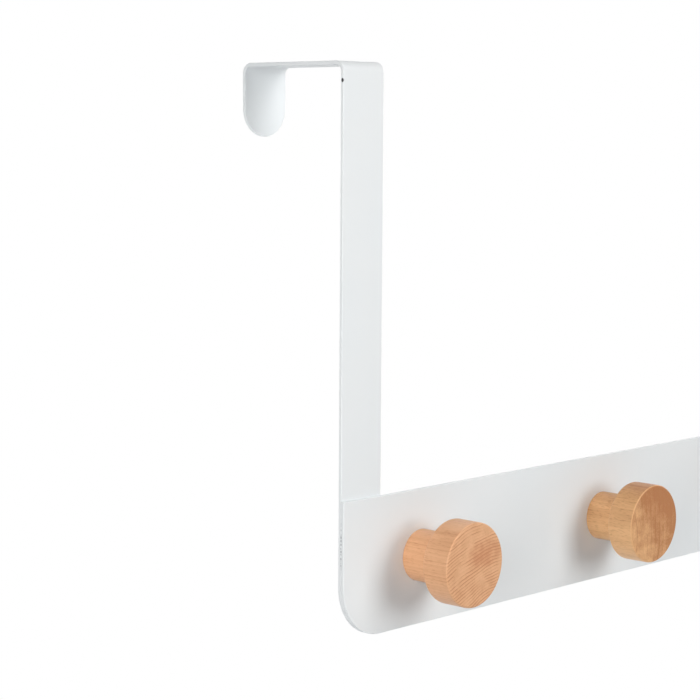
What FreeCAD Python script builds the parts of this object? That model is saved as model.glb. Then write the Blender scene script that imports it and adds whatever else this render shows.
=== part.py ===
"""Over door hook rail: two sheet straps hang over the door's top edge and carry a rail of turned pegs.

The straps and the rail are coated sheet, spot welded face to face. Each peg is held by a countersunk screw
from behind. Millimetres, +Z up. The door's front face is the plane Y = 0 and its top edge is Z = 0: the pegs
point to -Y, the tongues hang behind the door at +Y, and X = 0 is the middle of the rail.
"""
import FreeCAD, Part
import Sketcher
import math
import os

doc = FreeCAD.newDocument("over_door_hook")

# Driving sizes
SIZES = (
    ("overall_height", 200.0, "lower edge of the rail to the top of the web"),
    ("strap_width", 20.0, "width of each strap and tongue"),
    ("strap_sheet", 1.3, "coated thickness of the strap"),
    ("door_gap", 47.0, "clear space between strap and tongue"),
    ("tongue_drop", 25.8, "top of the web to the tip of the tongue"),
    ("bend_inside", 2.4, "inside radius of both bends"),
    ("rail_length", 402.0, "end to end"),
    ("rail_height", 49.3, "lower edge to upper edge"),
    ("rail_sheet", 1.3, "coated thickness of the rail"),
    ("corner_radius", 18.8, "lower corners of the rail and of the straps behind it"),
    ("edge_ease", 0.25, "bevel on the edges of the coated sheet"),
    ("weld_spots", 3, "spot welds in each strap"),
    ("weld_spacing", 13.0, "centre to centre of the spot welds"),
    ("weld_diameter", 5.0, "electrode mark on the strap's back"),
    ("weld_dent", 0.15, "depth of the electrode mark"),
    ("peg_count", 4, "pegs on the rail"),
    ("strap_to_peg", 19.75, "inner edge of a strap to the axis of the peg beside it"),
    ("peg_rise", 25.2, "lower edge of the rail to the pegs' axes"),
    ("neck_diameter", 18.8, "straight neck that the loops hang on"),
    ("neck_length", 14.4, "rail to the shoulder of the head"),
    ("head_diameter", 30.4, "drum-shaped head"),
    ("head_length", 11.4, "shoulder to front face"),
    ("shoulder_bevel", 0.8, "bevel on the head's back rim"),
    ("face_bevel", 1.1, "bevel on the head's front rim"),
    ("screw_diameter", 3.5, "outside of the thread"),
    ("screw_length", 16.0, "top of the screw's head to its point"),
    ("screw_point", 3.0, "length of the conical point"),
    ("screw_head", 7.0, "diameter of the countersunk head"),
    ("head_rim", 0.3, "straight rim of the countersunk head"),
    ("cross_width", 0.9, "one slot of the cross recess"),
    ("cross_length", 3.8, "end to end of the cross recess"),
    ("cross_depth", 1.2, "depth of the cross recess"),
    ("sink_diameter", 6.0, "mouth of the countersink in the rail's back"),
    ("hole_clearance", 0.15, "between thread and rail hole, all round"),
    ("bore_clearance", 0.05, "between thread and peg bore, all round"),
    ("sink_clearance", 0.05, "between screw head and countersink, along the axis"),
    ("bore_spare", 2.0, "straight peg bore beyond the screw's point"),
)
sheet = doc.addObject("Spreadsheet::Sheet", "Sizes")
for row, (alias, value, meaning) in enumerate(SIZES, start=1):
    sheet.set(f"A{row}", alias)
    sheet.set(f"B{row}", str(value))
    sheet.setAlias(f"B{row}", alias)
    sheet.set(f"C{row}", meaning)
doc.recompute()

# Places and sizes that several pieces share, worked out from the driving sizes
RAIL_BOTTOM = "(Sizes.strap_sheet - Sizes.overall_height)"
RAIL_FRONT = "(-Sizes.strap_sheet - Sizes.rail_sheet)"
PEG_AXIS = f"({RAIL_BOTTOM} + Sizes.peg_rise)"
FIRST_PEG = "(Sizes.strap_width + Sizes.strap_to_peg - Sizes.rail_length / 2)"
# The other pegs are spread evenly between the two that stand beside the straps
PEG_SPACING = f"(-2 * {FIRST_PEG} / (Sizes.peg_count - 1))"
SHEET_EASE = "min(Sizes.edge_ease; 0.4 * Sizes.strap_sheet; 0.4 * Sizes.rail_sheet)"
HOLE_DIAMETER = "(Sizes.screw_diameter + 2 * Sizes.hole_clearance)"
# The screw's countersunk head has a right-angled cone, so that it is as deep as its radius grows. It stands
# behind the rail by what the countersink is narrower than the head, and by the seat's clearance.
SINK_ANGLE = 90.0
CONE_BASE = "(Sizes.rail_sheet + Sizes.sink_clearance + (Sizes.screw_head - Sizes.sink_diameter) / 2)"
HEAD_TOP = f"({CONE_BASE} + Sizes.head_rim)"
CONE_TIP = f"({CONE_BASE} - (Sizes.screw_head - Sizes.screw_diameter) / 2)"
SCREW_TIP = f"({HEAD_TOP} - Sizes.screw_length)"
# Depth of a drill's point, as a share of the bore's radius
DRILL_SLOPE = 0.6
# How far a cutting outline reaches past the sheet that it trims
OVERCUT = "2"


def origin_plane(body, role):
    """One of the body's own three base planes."""
    return next(item for item in body.Origin.OriginFeatures if item.Role == role)


def new_body(name, x, y, z):
    """A body whose origin stands at the given expressions."""
    body = doc.addObject("PartDesign::Body", name)
    body.Label = name
    for axis, text in zip("xyz", (x, y, z)):
        body.setExpression(f"Placement.Base.{axis}", text)
    return body


def new_sketch(body, name, role):
    """A sketch on one of the body's own base planes."""
    sketch = body.newObject("Sketcher::SketchObject", f"{body.Name}_{name}")
    sketch.AttachmentSupport = [(origin_plane(body, role), "")]
    sketch.MapMode = "FlatFace"
    return sketch


def number(sketch, text):
    """Present value of an expression."""
    return float(sketch.evalExpression(text))


def hold(sketch, constraint, text):
    """Adds a dimension and ties it to its expression."""
    index = sketch.addConstraint(constraint)
    sketch.setExpression(f"Constraints[{index}]", text)


def arc_between(start, end, radius):
    """Arc from start to end that turns left for a positive radius and right for a negative one."""
    half = (end - start) * 0.5
    reach = math.sqrt(max(radius * radius - half.Length ** 2, 0.0))
    side = FreeCAD.Vector(-half.y, half.x, 0).normalize()
    centre = start + half + side * math.copysign(reach, radius)
    ends = (start, end) if radius > 0 else (end, start)
    angles = [math.atan2(point.y - centre.y, point.x - centre.x) for point in ends]
    return Part.ArcOfCircle(Part.Circle(centre, FreeCAD.Vector(0, 0, 1), abs(radius)), *angles)


def draw_outline(sketch, corners):
    """Closed outline through the corners, each held at its own expressions.

    A corner is (across, up), reached by a straight line, or (across, up, turn, radius), reached by an arc
    that turns left (+1) or right (-1). The outline ends at its last corner, where it also starts.
    """
    points = [FreeCAD.Vector(number(sketch, corner[0]), number(sketch, corner[1]), 0) for corner in corners]
    edges = []
    for index, corner in enumerate(corners):
        start, end = points[index - 1], points[index]
        if len(corner) == 2:
            edges.append((sketch.addGeometry(Part.LineSegment(start, end), False), 1, 2))
            continue
        turn, radius = corner[2], number(sketch, corner[3])
        edge = sketch.addGeometry(arc_between(start, end, turn * radius), False)
        edges.append((edge, 1, 2) if turn > 0 else (edge, 2, 1))
        hold(sketch, Sketcher.Constraint("Radius", edge, radius), corner[3])
    for index, corner in enumerate(corners):
        edge, _, last = edges[index]
        following, first, _ = edges[(index + 1) % len(edges)]
        sketch.addConstraint(Sketcher.Constraint("Coincident", edge, last, following, first))
        hold(sketch, Sketcher.Constraint("DistanceX", -1, 1, edge, last, points[index].x), corner[0])
        hold(sketch, Sketcher.Constraint("DistanceY", -1, 1, edge, last, points[index].y), corner[1])


def draw_circle(sketch, across, up, diameter):
    """Circle with its centre and diameter held at their expressions."""
    x, y, size = (number(sketch, text) for text in (across, up, diameter))
    round_edge = Part.Circle(FreeCAD.Vector(x, y, 0), FreeCAD.Vector(0, 0, 1), size / 2)
    circle = sketch.addGeometry(round_edge, False)
    hold(sketch, Sketcher.Constraint("DistanceX", -1, 1, circle, 3, x), across)
    hold(sketch, Sketcher.Constraint("DistanceY", -1, 1, circle, 3, y), up)
    hold(sketch, Sketcher.Constraint("Diameter", circle, size), diameter)


def add_feature(body, kind, name, profile, **settings):
    """A pad, pocket, revolution or hole on a sketch. Text that names sizes is set as an expression."""
    doc.recompute()
    feature = body.newObject(f"PartDesign::{kind}", f"{body.Name}_{name}")
    feature.Profile = profile
    for setting, value in settings.items():
        if isinstance(value, str) and "Sizes." in value:
            feature.setExpression(setting, value)
        else:
            setattr(feature, setting, value)
    return feature


def turn_profile(body, profile):
    """Full turn of a half profile about its sketch's vertical axis, which lies along Y."""
    return add_feature(body, "Revolution", "turning", profile, ReferenceAxis=(profile, ["V_Axis"]), Angle=360)


def repeat(body, name, originals, axis, count, spacing):
    """Repeats features in a straight row along a sketch axis."""
    doc.recompute()
    row = body.newObject("PartDesign::LinearPattern", f"{body.Name}_{name}")
    row.Originals = originals
    row.Direction = axis
    row.Mode = "Spacing"
    row.setExpression("Offset", spacing)
    row.setExpression("Occurrences", count)
    body.Tip = row
    return row


def is_rim(face):
    """True for the thin faces round a sheet's outline, false for its broad sides and its bends."""
    surface = face.Surface
    if surface.TypeId == "Part::GeomCylinder":
        return abs(surface.Axis.y) > 0.99
    across_sheet = face.BoundBox.YLength < 1.5 * max(sheet.strap_sheet, sheet.rail_sheet)
    return abs(surface.Axis.x) > 0.99 or (abs(surface.Axis.z) > 0.99 and across_sheet)


def ease_rims(body):
    """Bevels every edge where a broad side of the sheet meets its thin outline."""
    doc.recompute()
    base = body.Tip
    names = [
        f"Edge{place}"
        for place, edge in enumerate(base.Shape.Edges, start=1)
        if sum(is_rim(face) for face in base.Shape.ancestorsOfType(edge, Part.Face)) == 1
    ]
    ease = body.newObject("PartDesign::Chamfer", f"{body.Name}_ease")
    ease.Base = (base, names)
    ease.setExpression("Size", SHEET_EASE)


def make_rail():
    """Flat strip, square at its upper corners and rounded at its lower ones, with a hole behind each peg."""
    body = new_body("back_rail", "0", "-Sizes.strap_sheet", RAIL_BOTTOM)
    half = "Sizes.rail_length / 2"
    outline = new_sketch(body, "outline", "XZ_Plane")
    draw_outline(outline, (
        (f"-{half}", "Sizes.corner_radius"),
        (f"Sizes.corner_radius - {half}", "0", 1, "Sizes.corner_radius"),
        (f"{half} - Sizes.corner_radius", "0"),
        (half, "Sizes.corner_radius", 1, "Sizes.corner_radius"),
        (half, "Sizes.rail_height"),
        (f"-{half}", "Sizes.rail_height"),
    ))
    add_feature(body, "Pad", "plate", outline, Length="Sizes.rail_sheet")
    ease_rims(body)

    first_hole = new_sketch(body, "first_hole", "XZ_Plane")
    draw_circle(first_hole, FIRST_PEG, "Sizes.peg_rise", HOLE_DIAMETER)
    hole = add_feature(
        body, "Hole", "hole", first_hole,
        DepthType="ThroughAll", Reversed=True, Diameter=HOLE_DIAMETER,
        HoleCutType="Countersink", HoleCutCustomValues=True,
        HoleCutDiameter="Sizes.sink_diameter", HoleCutCountersinkAngle=SINK_ANGLE,
    )
    repeat(body, "holes", [hole], (first_hole, ["H_Axis"]), "Sizes.peg_count", PEG_SPACING)
    return body


def make_strap(name, side):
    """Formed strip: plate behind the rail, bend, web over the door, bend, and a tongue with a round end."""
    body = new_body(name, f"{side} * (Sizes.rail_length - Sizes.strap_width) / 2", "0", "0")
    radius, outer = "Sizes.bend_inside", "(Sizes.bend_inside + Sizes.strap_sheet)"
    behind = "(Sizes.door_gap + Sizes.strap_sheet)"
    tip = "(Sizes.strap_sheet - Sizes.tongue_drop)"
    section = new_sketch(body, "section", "YZ_Plane")
    draw_outline(section, (
        ("-Sizes.strap_sheet", RAIL_BOTTOM),
        ("-Sizes.strap_sheet", f"-{radius}"),
        (radius, "Sizes.strap_sheet", -1, outer),
        (f"Sizes.door_gap - {radius}", "Sizes.strap_sheet"),
        (behind, f"-{radius}", -1, outer),
        (behind, tip),
        ("Sizes.door_gap", tip),
        ("Sizes.door_gap", f"-{radius}"),
        (f"Sizes.door_gap - {radius}", "0", 1, radius),
        (radius, "0"),
        ("0", f"-{radius}", 1, radius),
        ("0", RAIL_BOTTOM),
    ))
    add_feature(body, "Pad", "strip", section, SideType="Symmetric", Length="Sizes.strap_width")

    # The tongue's end is a full half circle across the strap
    round_end = new_sketch(body, "round_end", "XZ_Plane")
    half = "Sizes.strap_width / 2"
    draw_outline(round_end, (
        (f"-{half}", f"{tip} + {half}"),
        ("0", tip, 1, half),
        (half, f"{tip} + {half}", 1, half),
        (f"{half} + {OVERCUT}", f"{tip} + {half}"),
        (f"{half} + {OVERCUT}", f"{tip} - {OVERCUT}"),
        (f"-{half} - {OVERCUT}", f"{tip} - {OVERCUT}"),
        (f"-{half} - {OVERCUT}", f"{tip} + {half}"),
    ))
    add_feature(body, "Pocket", "tongue_end", round_end, Type="ThroughAll")

    # The lower corner follows the rail's corner in front of it
    lower_corner = new_sketch(body, "lower_corner", "XZ_Plane")
    edge = f"{side} * {half}"
    corner_side = f"{edge} - {side} * Sizes.corner_radius"
    beyond = f"{edge} + {side} * {OVERCUT}"
    corner = [
        (edge, f"{RAIL_BOTTOM} + Sizes.corner_radius"),
        (corner_side, RAIL_BOTTOM, -side, "Sizes.corner_radius"),
        (corner_side, f"{RAIL_BOTTOM} - {OVERCUT}"),
        (beyond, f"{RAIL_BOTTOM} - {OVERCUT}"),
        (beyond, f"{RAIL_BOTTOM} + Sizes.corner_radius"),
    ]
    draw_outline(lower_corner, corner)
    add_feature(body, "Pocket", "rounded_corner", lower_corner, Type="ThroughAll", Reversed=True)
    ease_rims(body)

    # Electrode marks of the spot welds, spread about the middle of the rail's height
    first_weld = new_sketch(body, "first_weld", "XZ_Plane")
    lowest = f"{RAIL_BOTTOM} + Sizes.rail_height / 2 - (Sizes.weld_spots - 1) * Sizes.weld_spacing / 2"
    draw_circle(first_weld, "0", lowest, "Sizes.weld_diameter")
    mark = add_feature(body, "Pocket", "weld_mark", first_weld, Reversed=True, Length="Sizes.weld_dent")
    repeat(body, "weld_marks", [mark], (first_weld, ["V_Axis"]), "Sizes.weld_spots", "Sizes.weld_spacing")
    return body


def make_peg(place):
    """One turned peg: straight neck, drum-shaped head with bevelled rims, and a blind bore for its screw."""
    body = new_body(f"peg_{place + 1}", f"{FIRST_PEG} + {place} * {PEG_SPACING}", RAIL_FRONT, PEG_AXIS)
    bore = "(Sizes.screw_diameter / 2 + Sizes.bore_clearance)"
    bore_end = f"({SCREW_TIP} - Sizes.bore_spare)"
    neck, head = "Sizes.neck_diameter / 2", "Sizes.head_diameter / 2"
    front = "(Sizes.neck_length + Sizes.head_length)"
    profile = new_sketch(body, "profile", "XY_Plane")
    draw_outline(profile, (
        (bore, "0"),
        (neck, "0"),
        (neck, "-Sizes.neck_length"),
        (f"{head} - Sizes.shoulder_bevel", "-Sizes.neck_length"),
        (head, "-Sizes.neck_length - Sizes.shoulder_bevel"),
        (head, f"Sizes.face_bevel - {front}"),
        (f"{head} - Sizes.face_bevel", f"-{front}"),
        ("0", f"-{front}"),
        ("0", f"{bore_end} - {DRILL_SLOPE} * {bore}"),
        (bore, bore_end),
    ))
    turn_profile(body, profile)
    return body


def make_screws():
    """The row of countersunk screws, heads behind the rail, each with a cross recess."""
    body = new_body("peg_screws", FIRST_PEG, RAIL_FRONT, PEG_AXIS)
    shank, head = "Sizes.screw_diameter / 2", "Sizes.screw_head / 2"
    profile = new_sketch(body, "profile", "XY_Plane")
    draw_outline(profile, (
        ("0", HEAD_TOP),
        ("0", SCREW_TIP),
        (shank, f"{SCREW_TIP} + Sizes.screw_point"),
        (shank, CONE_TIP),
        (head, CONE_BASE),
        (head, HEAD_TOP),
    ))
    turned = turn_profile(body, profile)

    cross = new_sketch(body, "cross", "XZ_Plane")
    cross.setExpression("AttachmentOffset.Base.z", f"-{HEAD_TOP}")
    arm, slot = "Sizes.cross_length / 2", "Sizes.cross_width / 2"
    draw_outline(cross, (
        (f"-{arm}", f"-{slot}"), (f"-{slot}", f"-{slot}"), (f"-{slot}", f"-{arm}"), (slot, f"-{arm}"),
        (slot, f"-{slot}"), (arm, f"-{slot}"), (arm, slot), (slot, slot),
        (slot, arm), (f"-{slot}", arm), (f"-{slot}", slot), (f"-{arm}", slot),
    ))
    recess = add_feature(body, "Pocket", "recess", cross, Reversed=True, Length="Sizes.cross_depth")
    repeat(body, "row", [turned, recess], (profile, ["H_Axis"]), "Sizes.peg_count", PEG_SPACING)
    return body


pieces = [make_rail(), make_strap("left_strap", -1), make_strap("right_strap", 1)]
pieces += [make_peg(place) for place in range(int(sheet.peg_count))]
pieces.append(make_screws())
doc.recompute()

for item in doc.Objects:
    if "Invalid" in item.State or "Error" in item.State:
        raise RuntimeError(f"{item.Name} did not build: {item.State}")
os.makedirs("parts", exist_ok=True)
for piece in pieces:
    shape = piece.Shape
    if shape.isNull() or not shape.isValid():
        raise RuntimeError(f"{piece.Label} has no valid shape")
    shape.exportStep(f"parts/{piece.Label}.step")
    box = shape.BoundBox
    print(f"{piece.Label}: {len(shape.Solids)} solid(s), {shape.Volume:.1f} mm3, "
          f"{box.XLength:.2f} x {box.YLength:.2f} x {box.ZLength:.2f} mm")
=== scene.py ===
# %% [markdown]
# # Over door hook
# Two folded straps hang over the top edge of a door. They carry a flat rail with four turned wooden
# pegs, and each peg is held by a countersunk screw from behind.
#
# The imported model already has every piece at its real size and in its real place. This lesson gives each
# piece the finish that its maker gives it: sheet metal is cut flat, rounded at its rim and then folded,
# pegs are turned from a profile, and screws get their thread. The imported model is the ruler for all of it.

# %% Load the frame
import math

import bmesh
import bpy
from mathutils import Matrix, Vector


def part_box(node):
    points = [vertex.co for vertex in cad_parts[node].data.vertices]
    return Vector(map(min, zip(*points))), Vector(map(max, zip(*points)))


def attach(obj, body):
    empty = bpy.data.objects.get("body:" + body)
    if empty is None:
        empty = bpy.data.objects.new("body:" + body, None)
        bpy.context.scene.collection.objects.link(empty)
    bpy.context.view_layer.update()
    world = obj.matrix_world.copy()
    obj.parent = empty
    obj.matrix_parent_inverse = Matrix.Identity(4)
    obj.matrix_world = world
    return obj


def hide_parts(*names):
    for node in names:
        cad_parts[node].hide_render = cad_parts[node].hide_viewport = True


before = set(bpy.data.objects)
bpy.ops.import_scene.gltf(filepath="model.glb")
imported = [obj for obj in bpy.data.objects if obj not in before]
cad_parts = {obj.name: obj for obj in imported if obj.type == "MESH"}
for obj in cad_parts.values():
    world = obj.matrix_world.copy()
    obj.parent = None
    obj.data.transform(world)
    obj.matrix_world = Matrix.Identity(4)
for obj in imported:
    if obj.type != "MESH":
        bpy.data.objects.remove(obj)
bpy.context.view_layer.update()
MM = 0.001
print("nodes:", ", ".join(sorted(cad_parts)))

# %% [markdown]
# ## A wire that understands arithmetic
# A node tree is a formula drawn as boxes. Placing the boxes by hand in code hides the formula, so a
# small class wraps one socket: `a * 2 + b` adds the two Math nodes by itself. Any other node comes from
# the method `node`, which sets the node's options first and its sockets after them. The shapes and the
# finishes below are all written this way.

# %% The wire


class Wire:
    """One socket of a node tree. Python's operators on it add Math nodes."""

    def __init__(self, tree, socket=None):
        self.tree, self.socket = tree, socket

    def node(self, kind, settings=None, sockets=None, output=0):
        """Adds any node: its settings first, then the values or links of its sockets."""
        made = self.tree.nodes.new(kind)
        for name, value in (settings or {}).items():
            if name == "items":
                while len(made.index_switch_items) < value:
                    made.index_switch_items.new()
            else:
                setattr(made, name, value)
        for name, value in (sockets or {}).items():
            for part in value if isinstance(value, list) else [value]:
                self.feed(made.inputs[name], part)
        return Wire(self.tree, made.outputs[output] if made.outputs else None)

    def feed(self, socket, value):
        """Links a wire to a socket, or sets the socket to a plain value."""
        if isinstance(value, Wire):
            self.tree.links.new(value.socket, socket)
        elif socket.type == "RGBA":
            socket.default_value = (*value, 1.0)
        else:
            socket.default_value = value

    def out(self, name):
        """Another output of the node that this wire comes from."""
        return Wire(self.tree, self.socket.node.outputs[name])

    def math(self, operation, *others):
        """A Math node on this wire and the others, in that order."""
        return self.node("ShaderNodeMath", {"operation": operation}, dict(enumerate((self, *others))))

    def __add__(self, other):
        return self.math("ADD", other)

    def __sub__(self, other):
        return self.math("SUBTRACT", other)

    def __rsub__(self, other):
        return self.node("ShaderNodeMath", {"operation": "SUBTRACT"}, {0: other, 1: self})

    def __mul__(self, other):
        return self.math("MULTIPLY", other)

    def __truediv__(self, other):
        return self.math("DIVIDE", other)

    __radd__, __rmul__ = __add__, __mul__

    def least(self, other):
        return self.math("MINIMUM", other)

    def most(self, other):
        return self.math("MAXIMUM", other)

    def between(self, low, high):
        """The value, held between two limits."""
        return self.most(low).least(high)

    def rise(self, low, high):
        """0 below low, 1 above high, and a smooth rise between them."""
        sockets = {"Value": self, "From Min": low, "From Max": high}
        return self.node("ShaderNodeMapRange", {"interpolation_type": "SMOOTHSTEP"}, sockets)

    def axes(self):
        """The three parts of a vector."""
        parts = self.node("ShaderNodeSeparateXYZ", sockets={0: self})
        return parts.out("X"), parts.out("Y"), parts.out("Z")

    def point(self, x, y, z):
        """A vector from three values."""
        return self.node("ShaderNodeCombineXYZ", sockets={"X": x, "Y": y, "Z": z})


# %% [markdown]
# ## Measure the frame
# Hardly a size is typed in twice. The straps' width, the fold's radius, the pegs' places and their
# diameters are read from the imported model's own vertices, so that every dressed piece lands where the
# solid is. `span` gives the lowest and highest value along an axis, of the vertices that pass a test.

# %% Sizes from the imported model
ACROSS, UP = 0, 2
NEAR = 0.005 * MM


def span(node, axis, test=lambda point: True):
    """Lowest and highest place along an axis, of the node's vertices that pass a test."""
    found = [vertex.co[axis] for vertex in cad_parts[node].data.vertices if test(vertex.co)]
    return min(found), max(found)


rail_low, rail_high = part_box("back_rail")
strap_low, strap_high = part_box("left_strap")
SHEET = strap_high.z
DOOR_GAP = strap_high.y - SHEET
STRAP_WIDTH = strap_high.x - strap_low.x
FOLD_RADIUS = -span("left_strap", UP, lambda point: abs(point.y) < NEAR)[1]
TONGUE_TIP = span("left_strap", UP, lambda point: point.y > DOOR_GAP - NEAR)[0]
CORNER = span("back_rail", ACROSS, lambda point: point.z < rail_low.z + NEAR)[0] - rail_low.x
PEGS = sorted(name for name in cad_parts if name.startswith("peg_") and name != "peg_screws")
print(f"sheet {SHEET / MM:.2f}, door gap {DOOR_GAP / MM:.2f}, strap width {STRAP_WIDTH / MM:.2f}, "
      f"fold radius {FOLD_RADIUS / MM:.2f}, corner {CORNER / MM:.2f} mm, {len(PEGS)} pegs")

# %% The pegs' places and outline


def axis_of(node):
    """Middle of a turned node, at its back."""
    low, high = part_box(node)
    return Vector(((low.x + high.x) / 2, high.y, (low.z + high.z) / 2))


def rings(node, axis, reach):
    """(radius, along) of each vertex within reach of an axis, with along measured from the axis' start."""
    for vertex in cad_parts[node].data.vertices:
        offset = vertex.co - axis
        radius = math.hypot(offset.x, offset.z)
        if radius < reach:
            yield radius, offset.y


PEG_AXES = [axis_of(name) for name in PEGS]
PEG_PITCH = PEG_AXES[1].x - PEG_AXES[0].x
peg_rings = list(rings(PEGS[0], PEG_AXES[0], PEG_PITCH / 2))
PEG_FRONT = min(along for radius, along in peg_rings)
HEAD_RADIUS = max(radius for radius, along in peg_rings)
foot_radii = [radius for radius, along in peg_rings if along > -NEAR]
BORE_RADIUS, NECK_RADIUS = min(foot_radii), max(foot_radii)
SHOULDER = max(along for radius, along in peg_rings if radius > NECK_RADIUS + NEAR)
bore_rings = [(radius, along) for radius, along in peg_rings if along > PEG_FRONT + MM]
BORE_END = min(along for radius, along in bore_rings if abs(radius - BORE_RADIUS) < NEAR)
BORE_TIP = min(along for radius, along in bore_rings if radius < NEAR)
print(f"peg pitch {PEG_PITCH / MM:.2f}, neck radius {NECK_RADIUS / MM:.2f}, "
      f"head radius {HEAD_RADIUS / MM:.2f}, shoulder {SHOULDER / MM:.2f}, "
      f"front {PEG_FRONT / MM:.2f}, bore end {BORE_END / MM:.2f} mm")

# %% [markdown]
# ## White coat
# The sheets are powder coated: dry powder is baked until it flows into one skin. The result is nearly
# white and satin, with the faint waviness that painters call orange peel. Two scales of noise in a Bump
# node make the waves, a third shifts the gloss a little, and the colour stays calm. The left strap has a
# small dark chip on its edge near the top. Along its seam with the rail, a dotted dark line is painted
# as the shade of the gap between the two sheets. Both are drawn by their place on the sheet, so they
# stay put in every view.

# %% Helpers for finishes
SPOT_EDGE, CLOUD_EDGE = (0.5, 1.4), (0.35, 0.65)


def new_finish(name):
    """An empty material, and the wire that its nodes start from."""
    material = bpy.data.materials.new(name)
    material.use_nodes = True
    material.node_tree.nodes.clear()
    return material, Wire(material.node_tree)


def noise(place, scale, detail=2.0):
    """Smooth random values about 0.5. The scale is in waves per unit of the place."""
    return place.node("ShaderNodeTexNoise", sockets={"Vector": place, "Scale": scale, "Detail": detail})


def drawn_out(place, squeeze):
    """The place squeezed along Y, which draws a pattern on it out along Y."""
    return place.node("ShaderNodeMapping", sockets={"Vector": place, "Scale": (1, squeeze, 1)})


def tint(factor, first, second):
    """Mixes two colours, each a wire or three numbers."""
    return factor.node("ShaderNodeMix", {"data_type": "RGBA"}, {0: factor, 6: first, 7: second}, output=2)


def relief(height, depth):
    """A normal bent by a height, where a height of 1 stands out by the given depth."""
    return height.node("ShaderNodeBump", sockets={"Height": height, "Distance": depth, "Strength": 1.0})


def spot(place, centre, radii):
    """1 in the middle of an ellipsoid and 0 outside it, with a soft edge."""
    squares = sum(((part - middle) / radius).math("POWER", 2.0)
                  for part, middle, radius in zip(place.axes(), centre, radii))
    return 1 - squares.rise(*SPOT_EDGE)


def close_finish(wire, **sockets):
    """Ends a finish with its shader and output. Underscores in names stand for spaces."""
    named = {name.replace("_", " "): value for name, value in sockets.items()}
    shader = wire.node("ShaderNodeBsdfPrincipled", sockets=named)
    wire.node("ShaderNodeOutputMaterial", sockets={"Surface": shader})


# %% The white coat
COAT_COOL, COAT_WARM = (0.800, 0.830, 0.845), (0.818, 0.838, 0.846)
# The second colour is painted shade: a dotted dark line for the gap between strap and rail
BARE_STEEL, SEAM_SHADE = (0.030, 0.030, 0.034), (0.30, 0.33, 0.35)
CHIP_PLACE, CHIP_RADII = (-0.80 * MM, -5.3 * MM), (0.9 * MM, 0.50 * MM, 0.75 * MM)
ROW_PLACE, ROW_RADII = (-SHEET - 0.05 * MM, -165.0 * MM), (0.6 * MM, 0.20 * MM, 9.5 * MM)
SEAM_DOT_PITCH, COAT_RELIEF = 1.25 * MM, 0.10 * MM
# Noise in the coat, in waves per metre
CLOUDS, GLOSS_PATCHES, WAVES, RIPPLES, GAPS = 14.0, 240.0, 520.0, 1900.0, 900.0


def make_white_coat():
    """Satin powder coat, with a chip on the left strap's edge and dotted painted shade at its seam."""
    material, wire = new_finish("white_powder_coat")
    place = wire.node("ShaderNodeTexCoord").out("Object")
    chip = spot(place, (strap_low.x, *CHIP_PLACE), CHIP_RADII)
    # Painted shade: a dotted dark line along the seam between the left strap and the rail, where the gap is
    row = spot(place, (strap_low.x, *ROW_PLACE), ROW_RADII)
    _, _, height = place.axes()
    between = ((height / SEAM_DOT_PITCH).math("FRACT") * 2 - 1).math("ABSOLUTE").rise(0.40, 0.95)
    seam_shade = row * (1 - between) * noise(place, GAPS, 0.0).rise(0.36, 0.54)

    cloud = noise(place, CLOUDS)
    colour = tint(cloud.rise(*CLOUD_EDGE), COAT_COOL, COAT_WARM)
    # The painted seam shade goes on first, then the chip's bare steel
    colour = tint(seam_shade, colour, SEAM_SHADE)
    colour = tint(chip, colour, BARE_STEEL)
    waves = noise(place, WAVES, 1.0) + noise(place, RIPPLES, 0.0) * 0.25
    gloss = cloud * 0.05 + noise(place, GLOSS_PATCHES) * 0.05 + (chip + seam_shade) * 0.3 + 0.36
    skin = waves * 0.12 - (chip + seam_shade * 0.6)
    close_finish(wire, Base_Color=colour, Roughness=gloss, Normal=relief(skin, COAT_RELIEF))
    return material


white_coat = make_white_coat()
print("finish:", white_coat.name)

# %% [markdown]
# ## Peg wood
# The pegs are a pale, dense hardwood under a thin satin lacquer. A turned piece shows the same growth
# rings in two ways: as lines across the front disc, where the end grain is cut, and as faint streaks
# along the sides. One solid pattern gives both. Its rings are cylinders about a pith line that runs
# beside the peg, so that each peg gets its own cut of the tree by moving that line, and nothing has to be
# unwrapped. No two years are alike, so a random value for each ring's number makes some rings strong and
# others faint. Fibres and pores are noise drawn out along the peg, the sides carry the short flecks of a
# wood with broad rays, and the lacquer is a weak clear coat.
#
# Each cut says where its pith lies, how wide its rings are and how strongly they show, how dark the wood
# is and how much darker its front disc, which side of the blank is darker still, and where the redder
# heart comes to the surface.

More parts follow.
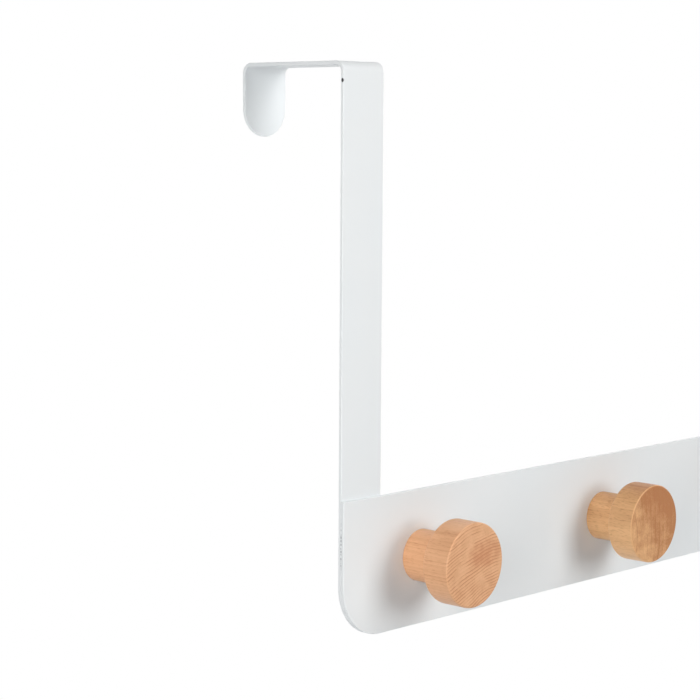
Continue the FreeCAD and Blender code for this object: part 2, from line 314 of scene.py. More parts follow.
# %% The cuts of wood
# Angles are in degrees from +X towards +Z, and lengths in millimetres
CUTS = {
    "peg_1": {
        "pith": (-73.0, 60.0), "ring": 1.12, "contrast": 1.22,
        "depth": 0.17, "end_depth": 0.04, "dark_side": (-80.0, 0.16),
        "pale": (0.790, 0.440, 0.240), "deep": (0.560, 0.250, 0.112),
        "flush": (0.560, 0.226, 0.100), "flush_place": (4.8, 3.6), "flush_reach": (8.2, 5.0),
    },
    "peg_2": {
        "pith": (184.0, 58.0), "ring": 2.50, "contrast": 0.20,
        "depth": 0.36, "end_depth": 0.43, "dark_side": (45.0, 0.76),
        "pale": (0.850, 0.497, 0.242), "deep": (0.450, 0.186, 0.064),
        "flush": (0.450, 0.172, 0.058), "flush_place": (6.0, 14.0), "flush_reach": (14.0, 13.0),
    },
    "peg_3": {
        "pith": (-118.0, 41.0), "ring": 1.60, "contrast": 0.65,
        "depth": 0.20, "end_depth": 0.10, "dark_side": (-120.0, 0.30),
        "pale": (0.755, 0.420, 0.214), "deep": (0.500, 0.218, 0.092),
        "flush": (0.540, 0.220, 0.094), "flush_place": (-5.0, -4.0), "flush_reach": (6.0, 5.0),
    },
    "peg_4": {
        "pith": (-24.0, 47.0), "ring": 1.75, "contrast": 0.70,
        "depth": 0.20, "end_depth": 0.06, "dark_side": (20.0, 0.40),
        "pale": (0.770, 0.430, 0.222), "deep": (0.515, 0.228, 0.098),
        "flush": (0.555, 0.230, 0.100), "flush_place": (-3.0, 6.0), "flush_reach": (8.0, 4.0),
    },
}
print("ring widths in mm:", {name: cut["ring"] for name, cut in CUTS.items()})

# %% The wood of one peg
# Noise in the wood: squeeze along the grain, waves per millimetre, detail
GRAIN = {
    "drift": (0.12, 0.05, 1.0), "ripple": (0.12, 0.35, 1.0), "clear": (0.12, 0.14, 1.0),
    "heart": (0.12, 0.34, 2.0), "fibres": (0.035, 1.4, 3.0), "cloud": (0.10, 0.20, 1.0),
    "pores": (0.05, 6.5, 1.0), "flecks": (0.22, 2.4, 0.0),
}
# Lengths inside the pattern, in millimetres
FRONT_MM, RIM_PALE_BAND, RING_DRIFT, RING_RIPPLE = PEG_FRONT / MM, 0.26, 5.0, 0.35
END_NEAR, END_FAR, HEART_DEPTH = 0.1, 0.6, 16.0
# Places inside one ring, from 0 to 1
LATE_RISE, LATE_FALL = (0.50, 0.80), (0.84, 0.96)
EARLY_RISE, EARLY_FALL = (0.0, 0.02), (0.02, 0.24)
EARLY_SHARE, WEATHER_LEAST, WEATHER_SPREAD, SIDE_SHARE = 0.6, 0.3, 1.1, 0.22
FIBRE_SHADE, CLOUD_SHADE, PORE_SHADE, FLECK_SHADE = 0.65, 1.1, 0.12, 0.24
GRAIN_RELIEF = 0.03 * MM


def make_wood(name, axis, cut):
    """Turned hardwood about an axis. Inside the pattern, lengths are in millimetres."""
    material, wire = new_finish(name)
    place = wire.node("ShaderNodeTexCoord").out("Object")
    pith_angle, pith_distance = math.radians(cut["pith"][0]), cut["pith"][1]

    # The pattern is turned until its own -Z points at the pith
    turn = math.atan2(-math.cos(pith_angle), -math.sin(pith_angle))
    sockets = {"Vector": place, "Location": axis, "Rotation": (0, turn, 0), "Scale": (MM, MM, MM)}
    local = wire.node("ShaderNodeMapping", {"vector_type": "TEXTURE"}, sockets)
    grain = {kind: noise(drawn_out(local, squeeze), scale, detail)
             for kind, (squeeze, scale, detail) in GRAIN.items()}

    # Growth rings: cylinders about the pith, pushed about by slow noise
    x, along, z = local.axes()
    from_pith = z + pith_distance
    distance = (x * x + from_pith * from_pith).math("SQRT")
    drift = grain["drift"] * RING_DRIFT + grain["ripple"] * RING_RIPPLE
    years = (distance + drift) / cut["ring"]
    ring = years.math("FRACT")
    weather = wire.node("ShaderNodeTexWhiteNoise", {"noise_dimensions": "1D"}, {"W": years.math("FLOOR")})
    late_wood = ring.rise(*LATE_RISE) * (1 - ring.rise(*LATE_FALL))
    early_wood = ring.rise(*EARLY_RISE) * (1 - ring.rise(*EARLY_FALL))
    clear = grain["clear"].rise(0.30, 0.54)
    end_grain = 1 - along.rise(FRONT_MM + END_NEAR, FRONT_MM + END_FAR)
    lines = (late_wood - early_wood * EARLY_SHARE) * (weather * WEATHER_SPREAD + WEATHER_LEAST)
    lines = lines * clear * (end_grain * (1 - SIDE_SHARE) + SIDE_SHARE)

    # Fibres and pores run along the peg, its sides show short flecks where the rays end, and a slow
    # cloud shades whole groups of rings
    fibres = grain["fibres"]
    pores = grain["pores"].rise(0.60, 0.74)
    flecks = grain["flecks"].rise(0.56, 0.72) * (1 - end_grain)
    depth = lines * cut["contrast"] + (fibres - 0.5) * FIBRE_SHADE + (grain["cloud"] - 0.5) * CLOUD_SHADE
    depth = depth + pores * PORE_SHADE + flecks * FLECK_SHADE + end_grain * cut["end_depth"] + cut["depth"]

    # One side of each blank is darker than the other
    dark_angle, dark_step = math.radians(cut["dark_side"][0]), cut["dark_side"][1] / (2 * HEAD_RADIUS)
    across_blank, _, up_blank = place.axes()
    to_dark = (across_blank - axis.x) * math.cos(dark_angle) + (up_blank - axis.z) * math.sin(dark_angle)
    depth = depth + to_dark * dark_step

    # The redder heartwood
    across, up = cut["flush_place"]
    reach_across, reach_up = cut["flush_reach"]
    middle = (axis.x + across * MM, axis.y + PEG_FRONT, axis.z + up * MM)
    heart = spot(place, middle, (reach_across * MM, HEART_DEPTH * MM, reach_up * MM))
    heart = heart * ((grain["heart"] * 2.0 - 0.35) * (late_wood * 0.5 + 0.6)).between(0, 1)
    colour = tint(depth.between(0, 1), cut["pale"], cut["deep"])
    colour = tint(heart, colour, cut["flush"])

    # The rim of the front disc is tinted pale: partly a painted highlight from the lamps on the left,
    # partly the sander's wear
    from_axis = (x * x + z * z).math("SQRT") - (HEAD_RADIUS / MM - RIM_PALE_BAND)
    from_face = along - (FRONT_MM + RIM_PALE_BAND)
    from_rim = (from_axis * from_axis + from_face * from_face).math("SQRT")
    rim = 1 - from_rim.rise(RIM_PALE_BAND * 0.4, RIM_PALE_BAND * 1.1)
    colour = tint(rim * 0.6, colour, cut["pale"])

    gloss = pores * 0.10 + fibres * 0.10 + 0.40
    height = late_wood * end_grain * 0.4 - pores * 0.5 + fibres * 0.3
    close_finish(wire, Base_Color=colour, Roughness=gloss, Normal=relief(height, GRAIN_RELIEF),
                 Specular_IOR_Level=0.3, Coat_Weight=0.10, Coat_Roughness=0.25)
    return material


woods = {name: make_wood(f"{name}_wood", axis, CUTS[name]) for name, axis in zip(PEGS, PEG_AXES)}
print("finishes:", ", ".join(wood.name for wood in woods.values()))

# %% [markdown]
# ## Screw steel
# The screws are zinc plated: bright metal with a slightly cloudy skin. They only show from behind, in
# their countersinks. A metal takes nearly all its look from what it reflects, so its own colour stays
# between two quiet greys, and the same noise makes the skin a little rougher in places.

# %% The steel
ZINC_COOL, ZINC_WARM = (0.46, 0.47, 0.47), (0.55, 0.55, 0.52)
# Noise in the plating, in waves per metre, and the depth of its marks
ZINC_CLOUDS, ZINC_MARKS, ZINC_RELIEF = 700.0, 5200.0, 0.01 * MM


def make_steel():
    """Zinc plate: bright, a little cloudy, with fine marks from the barrel that it was plated in."""
    material, wire = new_finish("zinc_plate")
    place = wire.node("ShaderNodeTexCoord").out("Object")
    cloud = noise(place, ZINC_CLOUDS)
    marks = noise(place, ZINC_MARKS, 1.0)
    colour = tint(cloud.rise(*CLOUD_EDGE), ZINC_COOL, ZINC_WARM)
    gloss = cloud * 0.16 + marks * 0.08 + 0.24
    close_finish(wire, Base_Color=colour, Roughness=gloss, Metallic=1.0, Normal=relief(marks, ZINC_RELIEF))
    return material


screw_steel = make_steel()
print("finish:", screw_steel.name)

# %% [markdown]
# ## Shapes grown by rules
# A turned peg could be spun by hand from a drawn edge. Geometry Nodes do it as a rule: the tree has the
# sizes as named inputs, lays the profile's corners in a row, rounds each corner by its own radius, and
# wraps a grid round the axis along that profile. The same wrap makes the drills that sink the rail's
# holes and the shallow punch of the weld marks, so it is written once, as a function on wires. Two more
# functions set copies of a shape in a row, and cut such a row of tools out of a sheet.

# %% Trees, and the pieces that they grow


def new_tree(name, inputs):
    """A tree with named inputs. Returns it with a dict of wires, one for each input."""
    tree = bpy.data.node_groups.new(name, "GeometryNodeTree")
    tree.interface.new_socket("Geometry", in_out="OUTPUT", socket_type="NodeSocketGeometry")
    for label, kind in {"Geometry": "Geometry", **inputs, "Finish": "Material"}.items():
        tree.interface.new_socket(label, in_out="INPUT", socket_type=f"NodeSocket{kind}")
    entry = tree.nodes.new("NodeGroupInput")
    return tree, {socket.name: Wire(tree, socket) for socket in entry.outputs if socket.name}


def close_tree(shape, finish):
    """Ends a tree: its instances become mesh, and the mesh gets its finish."""
    real = shape.node("GeometryNodeRealizeInstances", sockets={"Geometry": shape})
    coated = shape.node("GeometryNodeSetMaterial", sockets={"Geometry": real, "Material": finish})
    shape.node("NodeGroupOutput", sockets={"Geometry": coated})


def link(name, data):
    """A new object in the scene, for a mesh, a lamp or a camera."""
    made = bpy.data.objects.new(name, data)
    bpy.context.scene.collection.objects.link(made)
    return made


def grow(name, tree, values, start=None):
    """Runs a tree with its inputs set, and keeps the result as a plain mesh."""
    source = link(f"{name}_source", start or bpy.data.meshes.new(f"{name}_start"))
    modifier = source.modifiers.new(tree.name, "NODES")
    modifier.node_group = tree
    for item in tree.interface.items_tree:
        if item.in_out == "INPUT" and item.name in values:
            modifier[item.identifier] = values[item.name]
    depsgraph = bpy.context.evaluated_depsgraph_get()
    grown = bpy.data.meshes.new_from_object(source.evaluated_get(depsgraph))
    grown.name = name

    # The empty slot of the starting mesh comes first
    while grown.materials[0] is None:
        grown.materials.pop(index=0)
    bpy.data.objects.remove(source)
    return link(name, grown)


# %% Turned shapes
SEAM = 0.001 * MM


def row_of(inputs, kind, values):
    """A field that gives each point of a row its own value, in order."""
    index = inputs.node("GeometryNodeInputIndex")
    sockets = {0: index, **{place: value for place, value in enumerate(values, start=1)}}
    return inputs.node("GeometryNodeIndexSwitch", {"data_type": kind, "items": len(values)}, sockets)


def wrapped(wire, rows, columns, place_of):
    """A grid wrapped round the Y axis. place_of gives (radius, along) for a row and a share of the turn."""
    grid = wire.node("GeometryNodeMeshGrid", sockets={
        "Size X": 1.0, "Size Y": 1.0, "Vertices X": rows, "Vertices Y": columns + 1})
    across, up, _ = wire.node("GeometryNodeInputPosition").axes()
    row = ((across + 0.5) * (rows - 1) + 0.5).math("FLOOR")
    share = up + 0.5
    radius, along = place_of(row, share)
    angle = share * -math.tau
    place = wire.point(radius * angle.math("COSINE"), along, radius * angle.math("SINE"))
    shape = wire.node("GeometryNodeSetPosition", sockets={"Geometry": grid, "Position": place})
    return wire.node("GeometryNodeMergeByDistance", sockets={"Geometry": shape, "Distance": SEAM})


def turned(wire, corners, eases, columns, steps=5):
    """A closed turned shape. Each corner of the profile is (radius, along), rounded by its own ease."""
    line = wire.node("GeometryNodeMeshLine", {"mode": "OFFSET"}, {"Count": len(corners)})
    places = row_of(wire, "VECTOR", [wire.point(radius, along, 0.0) for radius, along in corners])
    line = wire.node("GeometryNodeSetPosition", sockets={"Geometry": line, "Position": places})
    curve = wire.node("GeometryNodeMeshToCurve", sockets={"Mesh": line})
    profile = wire.node("GeometryNodeFilletCurve", {"mode": "POLY"}, {
        "Curve": curve, "Count": steps, "Radius": row_of(wire, "FLOAT", eases), "Limit Radius": True})
    count = wire.node("GeometryNodeAttributeDomainSize", {"component": "CURVE"}, {"Geometry": profile})

    def place_of(row, share):
        position = wire.node("GeometryNodeInputPosition")
        sampled = wire.node("GeometryNodeSampleIndex", {"data_type": "FLOAT_VECTOR", "clamp": True}, {
            "Geometry": profile, "Value": position, "Index": row})
        radius, along, _ = sampled.axes()
        return radius, along

    return wrapped(wire, count, columns, place_of)


# %% Rows of tools
TOOL_COLUMNS = 48


def in_a_row(shape, count, first, step, turn=(0.0, 0.0, 0.0)):
    """Copies of a shape on a row of points."""
    row = shape.node("GeometryNodeMeshLine", {"mode": "OFFSET"}, {
        "Count": count, "Start Location": first, "Offset": step})
    return shape.node("GeometryNodeInstanceOnPoints", sockets={
        "Points": row, "Instance": shape, "Rotation": turn})


def cut_out(shape, tools):
    """The shape without the room that a row of tools takes."""
    solid = tools.node("GeometryNodeRealizeInstances", sockets={"Geometry": tools})
    return shape.node("GeometryNodeMeshBoolean", {"operation": "DIFFERENCE", "solver": "EXACT"}, {
        "Mesh 1": shape, "Mesh 2": solid})


# %% Shading, and the count of each piece


def shade(piece, crease=45):
    """Smooth shading up to a crease angle, with broad faces kept flat beside their rounded rims."""
    mesh = piece.data
    flush = bmesh.new()
    flush.from_mesh(mesh)
    bmesh.ops.recalc_face_normals(flush, faces=flush.faces)
    volume = flush.calc_volume(signed=True)
    if volume < 0:
        bmesh.ops.reverse_faces(flush, faces=flush.faces)
    open_edges = sum(not edge.is_manifold for edge in flush.edges)
    flush.to_mesh(mesh)
    flush.free()
    mesh.shade_smooth()
    mesh.set_sharp_from_angle(angle=math.radians(crease))
    even = piece.modifiers.new("even_light", "WEIGHTED_NORMAL")
    even.keep_sharp = True
    triangles = sum(len(face.vertices) - 2 for face in mesh.polygons)
    print(f"{piece.name}: {triangles} triangles, {open_edges} open edges, {abs(volume) / MM ** 3:.0f} mm3")


# %% [markdown]
# ## Pegs
# A peg has a straight neck, where a strap or a loop hangs, and a drum-shaped head that keeps it on. The
# lathe leaves soft rims and the sander softens them more, so each corner gets its own small radius. The
# blind bore for the screw is part of the profile, as it is part of the real peg.

# %% Turn the pegs
FOOT_EASE, THROAT_EASE, BACK_EASE, FACE_EASE = 0.25 * MM, 0.5 * MM, 1.2 * MM, 0.75 * MM
PEG_COLUMNS = 128


def peg_tree():
    """The turned peg: named sizes in, one closed shape out, standing on the Y axis."""
    names = ("Bore Radius", "Bore End", "Bore Tip", "Neck Radius", "Shoulder", "Head Radius", "Front",
             "Foot Ease", "Throat Ease", "Back Ease", "Face Ease")
    tree, given = new_tree("turned_peg", {**{name: "Float" for name in names}, "Axis": "Vector"})
    wire = given["Geometry"]
    corners = (
        (0.0, given["Bore Tip"]), (given["Bore Radius"], given["Bore End"]), (given["Bore Radius"], 0.0),
        (given["Neck Radius"], 0.0), (given["Neck Radius"], given["Shoulder"]),
        (given["Head Radius"], given["Shoulder"]), (given["Head Radius"], given["Front"]),
        (0.0, given["Front"]),
    )
    eases = (0.0, 0.0, 0.0, given["Foot Ease"], given["Throat Ease"], given["Back Ease"],
             given["Face Ease"], 0.0)
    peg = turned(wire, corners, eases, PEG_COLUMNS)
    peg = wire.node("GeometryNodeTransform", sockets={"Geometry": peg, "Translation": given["Axis"]})
    close_tree(peg, given["Finish"])
    return tree


turned_peg = peg_tree()
pegs = []
for name, axis in zip(PEGS, PEG_AXES):
    pegs.append(grow(f"{name}_turned", turned_peg, {
        "Bore Radius": BORE_RADIUS, "Bore End": BORE_END, "Bore Tip": BORE_TIP,
        "Neck Radius": NECK_RADIUS, "Shoulder": SHOULDER, "Head Radius": HEAD_RADIUS, "Front": PEG_FRONT,
        "Foot Ease": FOOT_EASE, "Throat Ease": THROAT_EASE, "Back Ease": BACK_EASE, "Face Ease": FACE_EASE,
        "Axis": axis, "Finish": woods[name]}))
    shade(pegs[-1])

# %% [markdown]
# ## Screws
# Each screw is a countersunk wood screw. Its thread is the one shape here that is a pure formula: the
# radius dips wherever the height along the screw and the angle round it, added together, come to a
# whole turn. One screw is grown, its cross recess is cut, and the tree then sets a copy on each peg's
# axis, each stopped at its own angle, because nobody lines up the slots.

# %% Grow the screws
SCREW_ROWS, SCREW_COLUMNS = 190, 28
THREAD_START, THREAD_LEAD = 3.0 * MM, 1.4 * MM
THREAD_DEPTH, POINT_LENGTH = 0.55 * MM, 3.0 * MM
THREAD_CREST, THREAD_VALLEY = 0.08, 0.60
CROSS_LENGTH, CROSS_WIDTH, CROSS_DEPTH = 3.8 * MM, 0.9 * MM, 1.2 * MM
RECESS_TAPER = 0.45
screw_low, screw_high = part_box("peg_screws")
SCREW_TOP = Vector((PEG_AXES[0].x, screw_high.y, PEG_AXES[0].z))
screw_rings = list(rings("peg_screws", SCREW_TOP, PEG_PITCH / 2))
SCREW_LENGTH = screw_high.y - screw_low.y
SCREW_HEAD = max(radius for radius, along in screw_rings)
SHANK_RADIUS = max(radius for radius, along in screw_rings if along < -SCREW_LENGTH / 2)
HEAD_RIM = -min(along for radius, along in screw_rings if radius > SCREW_HEAD - NEAR)


def screw_tree():
    """A row of threaded screws, heads towards +Y, from named sizes."""
    names = ("Head Radius", "Head Rim", "Shank Radius", "Length", "Point Length", "Thread Start",
             "Thread Lead", "Thread Depth", "Cross Length", "Cross Width", "Cross Depth", "Spacing")
    kinds = {**{name: "Float" for name in names}, "First": "Vector", "Count": "Int", "Seed": "Int"}
    tree, given = new_tree("threaded_screws", kinds)
    wire, length, shank = given["Geometry"], given["Length"], given["Shank Radius"]

    def place_of(row, share):
        depth = ((row - 1) / (SCREW_ROWS - 2)).most(0.0) * length
        head = given["Head Radius"].least(given["Head Radius"] + given["Head Rim"] - depth)
        body = head.most(shank).least((length - depth) * (shank / given["Point Length"]))
        turn = (depth / given["Thread Lead"] + share).math("FRACT")
        valley = (turn * 2 - 1).math("ABSOLUTE").rise(THREAD_CREST, THREAD_VALLEY)
        cut = depth.rise(given["Thread Start"], given["Thread Start"] + given["Thread Lead"])
        radius = body - valley * cut * given["Thread Depth"] * (body / shank)
        return radius * row.least(1.0), depth * -1.0

    screw = wrapped(wire, SCREW_ROWS, SCREW_COLUMNS, place_of)
    size = wire.point(given["Cross Length"], given["Cross Depth"] * 2, given["Cross Width"])
    slot = wire.node("GeometryNodeMeshCube", sockets={"Size": size})
    x, y, z = wire.node("GeometryNodeInputPosition").axes()
    narrow = y.math("LESS_THAN", 0.0) * (RECESS_TAPER - 1) + 1
    slot = wire.node("GeometryNodeSetPosition", sockets={
        "Geometry": slot, "Position": wire.point(x * narrow, y, z)})
    crossed = wire.node("GeometryNodeTransform", sockets={
        "Geometry": slot, "Rotation": (0.0, math.pi / 2, 0.0)})
    screw = wire.node("GeometryNodeMeshBoolean", {"operation": "DIFFERENCE", "solver": "EXACT"}, {
        "Mesh 1": screw, "Mesh 2": [slot, crossed], "Self Intersection": True})

    stop = wire.node("FunctionNodeRandomValue", {"data_type": "FLOAT"}, {
        2: 0.0, 3: math.tau, "Seed": given["Seed"]}, output=1)
    step, turn = wire.point(given["Spacing"], 0.0, 0.0), wire.point(0.0, stop, 0.0)
    close_tree(in_a_row(screw, given["Count"], given["First"], step, turn), given["Finish"])
    return tree


screws = grow("threaded_screws", screw_tree(), {
    "Head Radius": SCREW_HEAD, "Head Rim": HEAD_RIM, "Shank Radius": SHANK_RADIUS,
    "Length": SCREW_LENGTH, "Point Length": POINT_LENGTH, "Thread Start": THREAD_START,
    "Thread Lead": THREAD_LEAD, "Thread Depth": THREAD_DEPTH, "Cross Length": CROSS_LENGTH,
    "Cross Width": CROSS_WIDTH, "Cross Depth": CROSS_DEPTH, "Spacing": PEG_PITCH,
    "First": SCREW_TOP, "Count": len(PEGS), "Seed": 7, "Finish": screw_steel})
shade(screws, crease=38)

# %% [markdown]
# ## Sheet metal, flat first
# A press shop cuts the flat blank, tumbles its sharp rim round, and only then folds it. The same order
# works here: the outline becomes a plate, a bevel rounds both rims, and cross cuts are made only where
# the plate will bend, so that the long straight runs stay light. `arc` gives the points of a round
# stretch, so that an outline names its corners and nothing else.

# %% Cut a flat blank
RIM_EASE, RIM_STEPS = 0.28 * MM, 3
ARC_STEPS = 20


def arc(across, up, radius, start, end, steps=ARC_STEPS):
    """Points of a round stretch about a centre, from one angle to another, in degrees."""
    for step in range(steps + 1):
        angle = math.radians(start + (end - start) * step / steps)
        yield across + radius * math.cos(angle), up + radius * math.sin(angle)


def flat_blank(name, outline, cuts=()):
    """A flat plate with rounded rims. It lies across X and along Y, with its thickness along Z."""
    plate = bmesh.new()
    floor = plate.faces.new([plate.verts.new((x, y, 0.0)) for x, y in outline])
    raised = bmesh.ops.extrude_face_region(plate, geom=[floor])["geom"]
    bmesh.ops.translate(plate, vec=(0, 0, SHEET), verts=[
        item for item in raised if isinstance(item, bmesh.types.BMVert)])
    bmesh.ops.recalc_face_normals(plate, faces=plate.faces)
    rims = [edge for edge in plate.edges if abs(edge.verts[0].co.z - edge.verts[1].co.z) < SEAM]
    bmesh.ops.bevel(plate, geom=rims, offset=RIM_EASE, segments=RIM_STEPS, profile=0.5, affect="EDGES")
    for cut in cuts:
        everything = [*plate.verts, *plate.edges, *plate.faces]
        bmesh.ops.bisect_plane(plate, geom=everything, dist=SEAM, plane_co=(0, cut, 0), plane_no=(0, 1, 0))
    mesh = bpy.data.meshes.new(name)
    plate.to_mesh(mesh)
    plate.free()
    return mesh


# %% [markdown]
# ## Fold the straps
# A fold is a formula too. Along the strip, the heading turns by a quarter in each bend and stays the
# same in between, and the thickness always stands square to the heading. The tree takes each point of
# the blank and works out where it comes to lie. The steps of the bends are where the blank was cut. The
# marks of the welding electrodes are pressed into the back afterwards, as in the shop, by a row of
# shallow punches.

# %% The folding tree
BEND_STEPS = 14
QUARTER = math.pi / 2
WELD_RADIUS, WELD_DENT, WELD_SPACING, WELD_COUNT = 2.5 * MM, 0.15 * MM, 13.0 * MM, 3
WELD_SLOPE, WELD_EASE = 0.35 * MM, 0.175 * MM
CUT_PAST = 1.0 * MM


def fold_tree():
    """Folds a flat blank over a door, and presses the weld marks into its plate."""
    names = ("Plate", "Web", "Fold Radius", "Mark Radius", "Mark Depth", "Mark Spacing")
    kinds = {**{name: "Float" for name in names}, "Foot": "Vector", "First Mark": "Vector", "Marks": "Int"}
    tree, given = new_tree("folded_strap", kinds)
    wire, plate, web, radius = given["Geometry"], given["Plate"], given["Web"], given["Fold Radius"]
    x, along, lift = wire.node("GeometryNodeInputPosition").axes()

    # How far each run and each bend has been followed when a point is reached
    bend = radius * QUARTER
    first = ((along - plate) / radius).between(0.0, QUARTER)
    second = ((along - plate - bend - web) / radius).between(0.0, QUARTER)
    up_plate = along.least(plate)
    over_web = (along - plate - bend).between(0.0, web)
    down_tongue = (along - plate - bend * 2 - web).most(0.0)

    heading = first + second
    depth = radius * (1 - first.math("COSINE")) + over_web + radius * second.math("SINE")
    height = up_plate + radius * first.math("SINE") - radius * (1 - second.math("COSINE")) - down_tongue
    place = wire.point(x, depth - lift * heading.math("COSINE"), height + lift * heading.math("SINE"))
    foot = wire.node("ShaderNodeVectorMath", {"operation": "ADD"}, {0: place, 1: given["Foot"]})
    strap = wire.node("GeometryNodeSetPosition", sockets={"Geometry": wire, "Position": foot})

    mark, dent = given["Mark Radius"], given["Mark Depth"]
    corners = ((0.0, CUT_PAST), (mark, CUT_PAST), (mark, 0.0), (mark - WELD_SLOPE, dent * -1.0),
               (0.0, dent * -1.0))
    punch = turned(wire, corners, (0.0, 0.0, 0.0, WELD_EASE, 0.0), TOOL_COLUMNS, steps=3)
    step = wire.point(0.0, 0.0, given["Mark Spacing"])
    punches = in_a_row(punch, given["Marks"], given["First Mark"], step)
    close_tree(cut_out(strap, punches), given["Finish"])
    return tree


folded_strap = fold_tree()
print("folding tree:", len(folded_strap.nodes), "nodes")

# %% Fold both straps


def strap_outline(side, length):
    """Blank of a strap: a corner like the rail's at its outer side, and a full round end on the tongue."""
    half = STRAP_WIDTH / 2
    points = [(-half, length - half), (-half, CORNER)]
    points += list(arc(CORNER - half, CORNER, CORNER, 180, 270))[1:]
    points += [(half, 0.0)]
    points += list(arc(0.0, length - half, half, 0, 180, 2 * ARC_STEPS))[:-1]
    return [(side * x, y) for x, y in points][::side]


PLATE = -FOLD_RADIUS - strap_low.z
WEB = DOOR_GAP - 2 * FOLD_RADIUS
BEND = FOLD_RADIUS * QUARTER
BLANK = PLATE + WEB + 2 * BEND - FOLD_RADIUS - TONGUE_TIP
bend_cuts = [start + BEND * step / BEND_STEPS for start in (PLATE, PLATE + BEND + WEB)
             for step in range(BEND_STEPS + 1)]
lowest_mark = (rail_low.z + rail_high.z - (WELD_COUNT - 1) * WELD_SPACING) / 2
straps = []
for side, node in ((1, "left_strap"), (-1, "right_strap")):
    low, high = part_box(node)
    middle = (low.x + high.x) / 2
    blank = flat_blank(f"{node}_blank", strap_outline(side, BLANK), bend_cuts)
    straps.append(grow(f"{node}_folded", folded_strap, {
        "Plate": PLATE, "Web": WEB, "Fold Radius": FOLD_RADIUS, "Foot": (middle, 0.0, low.z),
        "Mark Radius": WELD_RADIUS, "Mark Depth": WELD_DENT, "Mark Spacing": WELD_SPACING,
        "First Mark": (middle, 0.0, lowest_mark), "Marks": WELD_COUNT, "Finish": white_coat}, blank))
    shade(straps[-1])

# %% [markdown]
# ## Sink the rail
# The rail is a flat strip with rounded lower corners. Behind each peg it has a drilled and countersunk
# hole, which only shows from the back. A turned drill of the right profile is set on each peg's axis by
# the same kind of row that carries the screws, and one Boolean takes them all out of the sheet.

# %% The rail
HOLE_RADIUS, SINK_RADIUS = 1.9 * MM, 3.0 * MM


def rail_tree():
    """Stands a flat blank up as the rail and drills it."""
    names = ("Hole Radius", "Sink Radius", "Sheet", "Spacing")
    kinds = {**{name: "Float" for name in names}, "Foot": "Vector", "First": "Vector", "Count": "Int"}
    tree, given = new_tree("drilled_rail", kinds)
    wire, hole, sink = given["Geometry"], given["Hole Radius"], given["Sink Radius"]
    plate = wire.node("GeometryNodeTransform", sockets={
        "Geometry": wire, "Translation": given["Foot"], "Rotation": (QUARTER, 0.0, 0.0)})
    corners = ((0.0, -CUT_PAST), (hole, -CUT_PAST), (hole, given["Sheet"] - (sink - hole)),
               (sink + CUT_PAST, given["Sheet"] + CUT_PAST), (0.0, given["Sheet"] + CUT_PAST))
    drill = turned(wire, corners, (0.0,) * len(corners), TOOL_COLUMNS)
    drills = in_a_row(drill, given["Count"], given["First"], wire.point(given["Spacing"], 0.0, 0.0))
    close_tree(cut_out(plate, drills), given["Finish"])
    return tree


half_length, rail_height = (rail_high.x - rail_low.x) / 2, rail_high.z - rail_low.z
rail_outline = [
    *arc(CORNER - half_length, CORNER, CORNER, 180, 270),
    *arc(half_length - CORNER, CORNER, CORNER, 270, 360),
    (half_length, rail_height), (-half_length, rail_height),
]
rail = grow("back_rail_drilled", rail_tree(), {
    "Hole Radius": HOLE_RADIUS, "Sink Radius": SINK_RADIUS, "Sheet": SHEET, "Spacing": PEG_PITCH,
    "Foot": (0.0, rail_high.y, rail_low.z), "First": PEG_AXES[0], "Count": len(PEGS),
    "Finish": white_coat}, flat_blank("back_rail_blank", rail_outline))
shade(rail)

# %% [markdown]
# ## Hand the pieces to the frame
# The object is one rigid thing, so every piece rides on the one body. Each dressed piece stands for the
# solid that it was measured from, and that solid is hidden.

# %% Ride and replace
dressed = [(rail, "back_rail", "white_coat"), (screws, "peg_screws", "screw_steel")]
dressed += [(strap, node, "white_coat") for strap, node in zip(straps, ("left_strap", "right_strap"))]
dressed += [(peg, name, "peg_wood") for peg, name in zip(pegs, PEGS)]
for piece, node, slot in dressed:
    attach(piece, "root")
    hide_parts(node)
print(len(dressed), "pieces handed over")

# %% [markdown]
# ## Studio
# The hook is photographed hanging against pure white. The world shows white to the eye and to
# reflections, and gives the pieces a calmer light of its own. The floor lies well below: near the hook it
# is a pale floor that takes a shadow, and far away it fades into the white. Soft square lamps do the
# rest. The key and the high lamp stand to the right and lay the pegs' shadows to their lower left. The
# side lamp is near and to the left, so that its light falls off along the rail, and the left lamp, farther
# off, opens the shadows. The back and right lamps light the sides that the photograph doesn't show, and the
# top lamp lights the upper edges.

# %% World and floor
FLOOR_DROP = 0.55
FLOOR_HALF = 12.0
FADE_NEAR, FADE_FAR = 0.5, 1.1
FLOOR_COLOUR, FLOOR_GLOW = (0.86, 0.87, 0.88), 0.45
AMBIENT, AMBIENT_COLOUR = 0.02, (0.97, 0.99, 1.0)
WHITE = (1.0, 1.0, 1.0)


def seen_as_white(wire):
    """1 for rays of the eye, and for those that reflect or pass through to it."""
    path = wire.node("ShaderNodeLightPath")
    seen = path.out("Is Camera Ray") + path.out("Is Glossy Ray") + path.out("Is Transmission Ray")
    return seen.least(1.0)


def make_world():
    """White to the eye, and a calm pale light to the pieces."""
    world = bpy.data.worlds.new("studio")
    world.use_nodes = True
    world.node_tree.nodes.clear()
    wire = Wire(world.node_tree)
    calm = wire.node("ShaderNodeBackground", sockets={"Color": AMBIENT_COLOUR, "Strength": AMBIENT})
    white = wire.node("ShaderNodeBackground", sockets={"Color": WHITE, "Strength": 1.0})
    mixed = wire.node("ShaderNodeMixShader", sockets={0: seen_as_white(wire), 1: calm, 2: white})
    wire.node("ShaderNodeOutputWorld", sockets={"Surface": mixed})
    return world


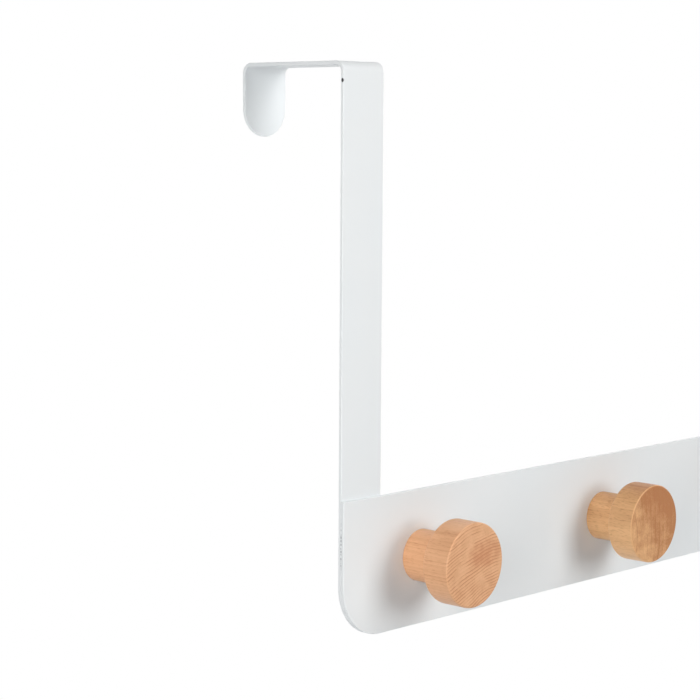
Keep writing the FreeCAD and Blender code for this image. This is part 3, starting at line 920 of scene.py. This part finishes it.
def make_floor_finish():
    """Pale floor that fades into the white of the backdrop with distance."""
    material, wire = new_finish("pale_floor")
    x, y, _ = wire.node("ShaderNodeTexCoord").out("Object").axes()
    away = (x * x + y * y).math("SQRT").rise(FADE_NEAR, FADE_FAR)
    share = seen_as_white(wire) * (away * (1 - FLOOR_GLOW) + FLOOR_GLOW)
    pale = wire.node("ShaderNodeBsdfDiffuse", sockets={"Color": FLOOR_COLOUR})
    glow = wire.node("ShaderNodeEmission", sockets={"Color": WHITE, "Strength": 1.0})
    mixed = wire.node("ShaderNodeMixShader", sockets={0: share, 1: pale, 2: glow})
    wire.node("ShaderNodeOutputMaterial", sockets={"Surface": mixed})
    return material


bpy.context.scene.world = make_world()
floor_mesh = bpy.data.meshes.new("floor")
floor_mesh.from_pydata([(x * FLOOR_HALF, y * FLOOR_HALF, rail_low.z - FLOOR_DROP)
                        for x, y in ((-1, -1), (1, -1), (1, 1), (-1, 1))], [], [(0, 1, 2, 3)])
floor_mesh.materials.append(make_floor_finish())
floor = link("floor", floor_mesh)
print(f"floor {FLOOR_DROP:.2f} m below the rail")

# %% Lamps
MIDDLE, STRAP = (-0.10, 0.0, -0.14), (-0.20, 0.0, -0.14)
LAMPS = {
    "key": {"target": MIDDLE, "azimuth": 14, "elevation": 14, "away": 1.30, "size": 0.62, "watts": 8.1,
            "colour": (1.0, 1.0, 0.99)},
    "high": {"target": MIDDLE, "azimuth": 30, "elevation": 45, "away": 1.30, "size": 0.60, "watts": 4.0,
             "colour": WHITE},
    "side": {"target": STRAP, "azimuth": -75, "elevation": 7, "away": 0.50, "size": 0.28, "watts": 1.7,
             "colour": (1.0, 0.99, 0.98)},
    "left": {"target": MIDDLE, "azimuth": -60, "elevation": 20, "away": 1.30, "size": 0.40, "watts": 2.3,
             "colour": WHITE},
    "back": {"target": MIDDLE, "azimuth": 165, "elevation": 15, "away": 1.30, "size": 0.60, "watts": 11.5,
             "colour": (0.95, 0.98, 1.0)},
    "right": {"target": MIDDLE, "azimuth": 105, "elevation": 12, "away": 1.30, "size": 0.60, "watts": 3.4,
              "colour": WHITE},
    "top": {"target": MIDDLE, "azimuth": 0, "elevation": 88, "away": 1.00, "size": 0.80, "watts": 1.7,
            "colour": WHITE},
}


def hang_lamp(name, target, azimuth, elevation, away, size, watts, colour):
    """A square soft lamp that faces its target. Its azimuth is counted from the front, to the right."""
    lamp = bpy.data.lights.new(name, "AREA")
    lamp.shape, lamp.size, lamp.energy, lamp.color = "SQUARE", size, watts, colour
    made = link(name, lamp)
    direction = Matrix.Rotation(math.radians(azimuth), 3, "Z") @ Vector(
        (0.0, -math.cos(math.radians(elevation)), math.sin(math.radians(elevation))))
    made.location = Vector(target) + direction * away
    made.rotation_euler = direction.to_track_quat("Z", "Y").to_euler()


for name, lamp in LAMPS.items():
    hang_lamp(name, **lamp)
print("lamps:", ", ".join(LAMPS))

# %% [markdown]
# ## Camera
# The camera stands left of the hook, above the pegs, and looks down along the rail. Its place was fitted
# to the edges of the sheet and the outlines of the pegs in the photograph: the way the edges run together
# gives the angles, and the width of the strap gives the distance. The rail runs out of the picture on the
# right, as in the photograph.

# %% The camera
CAMERA_PLACE = Vector((-0.6920, -0.4763, -0.0223))
CAMERA_AZIMUTH, CAMERA_ELEVATION, CAMERA_ROLL = (math.radians(angle) for angle in (-46.18, 6.215, 0.357))
FOCAL_PIXELS, PICTURE_PIXELS, SENSOR = 2012.1, 700, 36.0


def aim_camera():
    """A camera at the photograph's place and angle."""
    data = bpy.data.cameras.new("camera")
    data.sensor_width, data.lens = SENSOR, FOCAL_PIXELS / PICTURE_PIXELS * SENSOR
    data.clip_start, data.clip_end = 0.01, 100.0
    camera = link("camera", data)
    level = math.cos(CAMERA_ELEVATION)
    back = Vector((math.sin(CAMERA_AZIMUTH) * level, -math.cos(CAMERA_AZIMUTH) * level,
                   math.sin(CAMERA_ELEVATION)))
    right = Vector((math.cos(CAMERA_AZIMUTH), math.sin(CAMERA_AZIMUTH), 0.0))
    turn = Matrix((right, back.cross(right), back)).transposed() @ Matrix.Rotation(CAMERA_ROLL, 3, "Z")
    camera.matrix_world = Matrix.Translation(CAMERA_PLACE) @ turn.to_4x4()
    return camera


bpy.context.scene.camera = aim_camera()
bpy.context.scene.view_settings.view_transform = "Standard"
print(f"lens {bpy.context.scene.camera.data.lens:.1f} mm")
